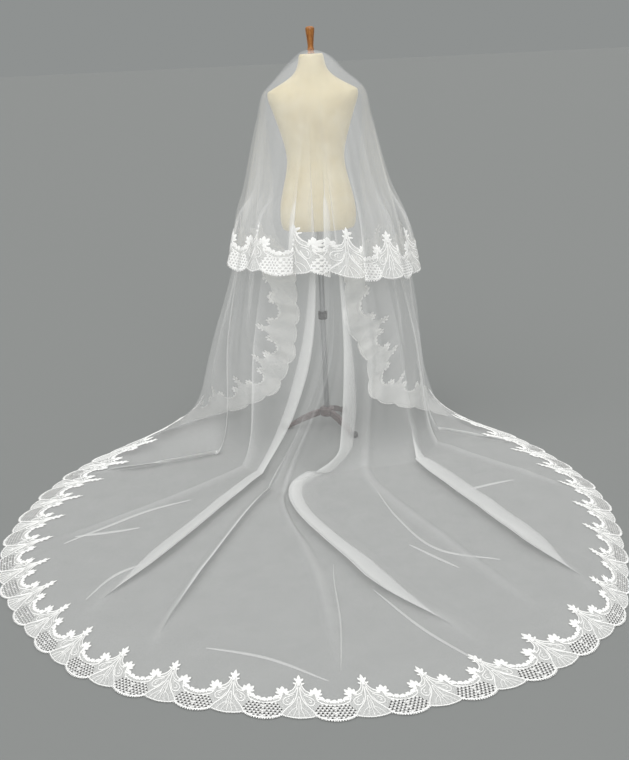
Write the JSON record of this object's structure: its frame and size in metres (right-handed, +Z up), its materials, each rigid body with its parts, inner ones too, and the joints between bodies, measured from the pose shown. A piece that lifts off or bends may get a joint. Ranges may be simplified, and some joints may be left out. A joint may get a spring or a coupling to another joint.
{
  "type": "bridal veil on dress form",
  "caption": "Two-tier drop veil of sheer tulle edged in scalloped lace, draped over a limbless dress form on a tripod stand, its round train spread on the floor.",
  "frame": {"origin": "middle of the footprint, on the floor", "axes": "+Z up, -Y the way the train runs from the form's back, +Y the form's front, +X to the right seen from behind"},
  "size_m": [2.0194, 2.2562, 1.5792],
  "materials": {
    "tulle": "sheer net",
    "lace": "corded lace",
    "linen": "plain woven cover",
    "turned_wood": "satin",
    "stand_wood": "satin",
    "pole_steel": "satin",
    "black_iron": "matt",
    "black_rubber": "matt"
  },
  "bodies": {
    "root": {"form_torso": "linen", "form_finial": "turned_wood", "stand_pole": "pole_steel", "stand_collar": "black_iron", "stand_knob": "black_iron", "stand_hub": "stand_wood", "stand_leg_left": "stand_wood", "stand_leg_right": "stand_wood", "stand_leg_back": "stand_wood", "stand_foot_left": "black_rubber", "stand_foot_right": "black_rubber", "stand_foot_back": "black_rubber", "long_tier_tulle": "tulle", "long_tier_lace": "lace", "short_tier_tulle": "tulle", "short_tier_lace": "lace"}
  },
  "joints": []
}
